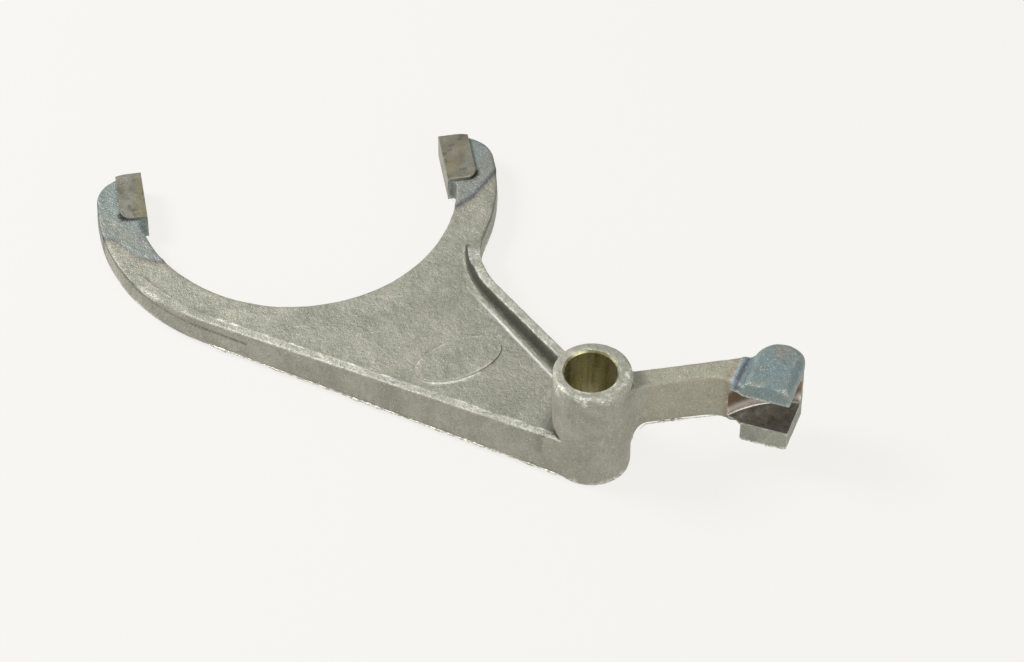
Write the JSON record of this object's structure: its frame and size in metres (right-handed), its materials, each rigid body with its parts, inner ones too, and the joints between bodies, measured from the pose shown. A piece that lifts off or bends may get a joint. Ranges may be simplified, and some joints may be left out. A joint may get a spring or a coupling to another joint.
{
  "type": "gearbox shift fork",
  "caption": "One-piece cast shift fork: half-round mouth with ground pads, ribbed web, bored rail hub and a lever ending in a slotted selector gate.",
  "frame": {"origin": "on the rail bore's axis, at the hub's lower face", "axes": "+Z along the selector rail, +X along the lever to the gate, +Y the way the fork's mouth opens"},
  "size_m": [0.2533, 0.1881, 0.0488],
  "materials": {
    "cast_steel": "sand-cast grey steel skin with machined bore, pads and slot"
  },
  "bodies": {
    "root": {"shift_fork": "cast_steel"}
  },
  "joints": []
}
